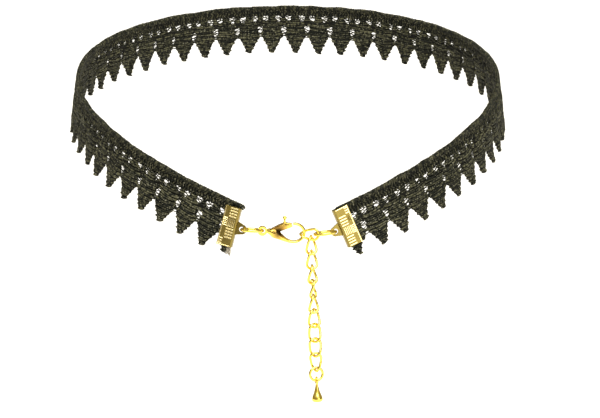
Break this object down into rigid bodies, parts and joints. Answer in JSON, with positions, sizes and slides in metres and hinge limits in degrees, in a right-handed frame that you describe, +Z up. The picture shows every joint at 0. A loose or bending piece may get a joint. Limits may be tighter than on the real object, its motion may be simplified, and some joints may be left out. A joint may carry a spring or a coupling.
{
  "type": "choker necklace",
  "caption": "Narrow pierced lace choker with pointed teeth, ribbon clamps, a lobster clasp and an extender chain with a small drop, in its worn form.",
  "frame": {"origin": "on the axis of the neck, at half the height of the lace", "axes": "+Z up along the neck, +Y to the front of the neck, -Y to the clasp at the back"},
  "size_m": [0.1186, 0.1266, 0.0833],
  "materials": {
    "lace": "black thread lace, matt with a slight sheen on the stitches",
    "clamps": "antique gold plate, satin, with brighter ribs",
    "gold": "bright gold plate, polished"
  },
  "bodies": {
    "necklace": {"lace_band": "lace", "clamp_left": "clamps", "clamp_right": "clamps", "jump_ring_left": "gold", "jump_ring_right": "gold", "clasp_body": "gold", "clasp_rivet": "gold", "chain_link_1": "gold", "chain_link_2": "gold", "chain_link_3": "gold", "chain_link_4": "gold", "chain_link_5": "gold", "chain_link_6": "gold", "chain_link_7": "gold", "chain_link_8": "gold", "chain_link_9": "gold", "chain_link_10": "gold", "end_ring": "gold", "end_drop": "gold"},
    "lever": {"clasp_lever": "gold"}
  },
  "joints": [
    {"name": "clasp_lever_pivot", "type": "hinge", "parent": "necklace", "child": "lever", "pos_m": [-0.00494, -0.06079, -0.01605], "axis": [0.0224, 0.9997, 0], "range_deg": [0, 25], "stiffness_Nm_per_rad": 0.002, "springref_deg": -11.46}
  ]
}
